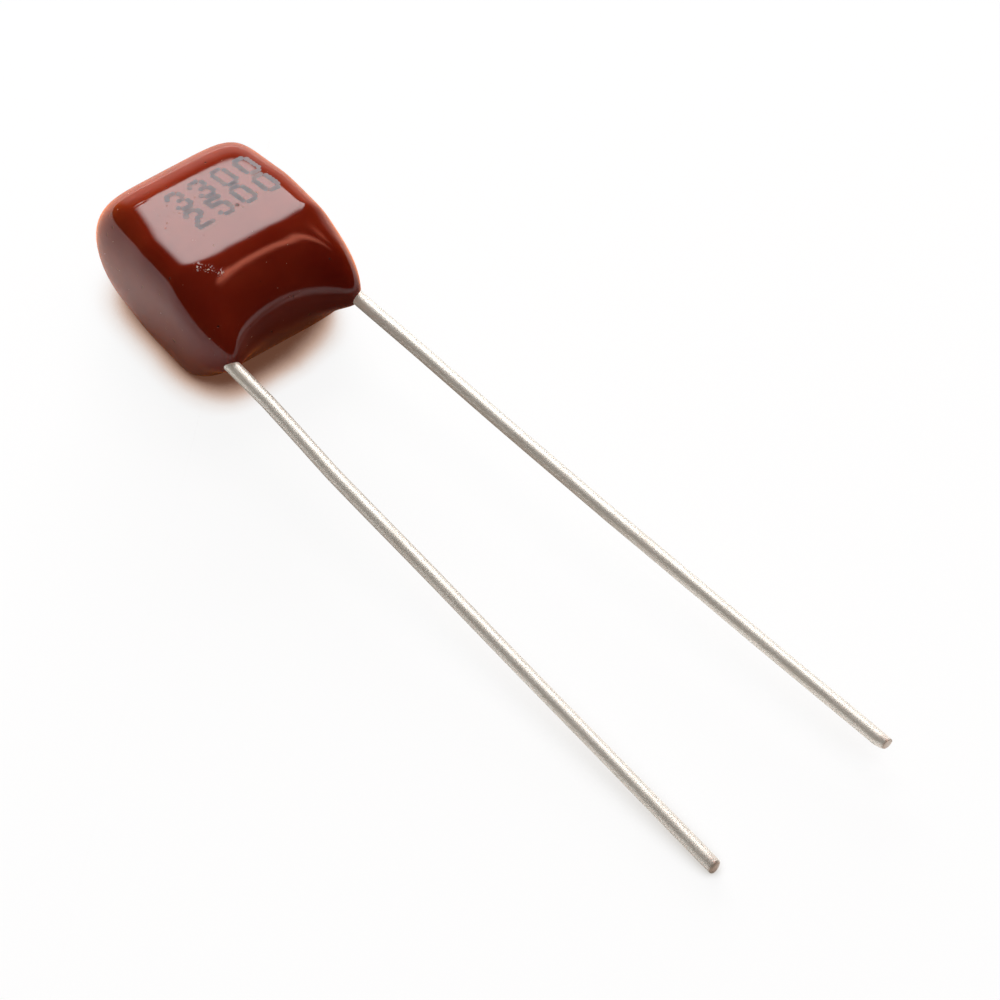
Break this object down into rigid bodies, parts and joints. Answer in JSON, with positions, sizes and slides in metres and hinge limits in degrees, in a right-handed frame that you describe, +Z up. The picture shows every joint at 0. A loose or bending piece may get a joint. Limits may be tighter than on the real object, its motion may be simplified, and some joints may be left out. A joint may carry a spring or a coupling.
{
  "type": "polyester film capacitor",
  "caption": "Dipped film capacitor: a rounded, box-shaped glossy body lying on its broad face, with thin round leads that leave one edge side by side.",
  "frame": {"origin": "middle of the flat underside, on the surface the part lies on", "axes": "+Z up through the body's thickness; -Y the way the leads run; +X across the body, from the left lead to the right lead"},
  "size_m": [0.0086, 0.033, 0.0047],
  "materials": {
    "epoxy": "glossy brown-red dipped epoxy with slight waves and fine specks",
    "metallised_film": "silvery film edges of a tight flattened roll",
    "sprayed_zinc": "matt grey sprayed metal with a fine grain",
    "tinned_wire": "bright tinned wire with small nicks and drawn lines"
  },
  "bodies": {
    "root": {"epoxy_coat": "epoxy", "film_winding": "metallised_film", "end_spray_left": "sprayed_zinc", "end_spray_right": "sprayed_zinc", "lead_left": "tinned_wire", "lead_right": "tinned_wire"}
  },
  "joints": []
}
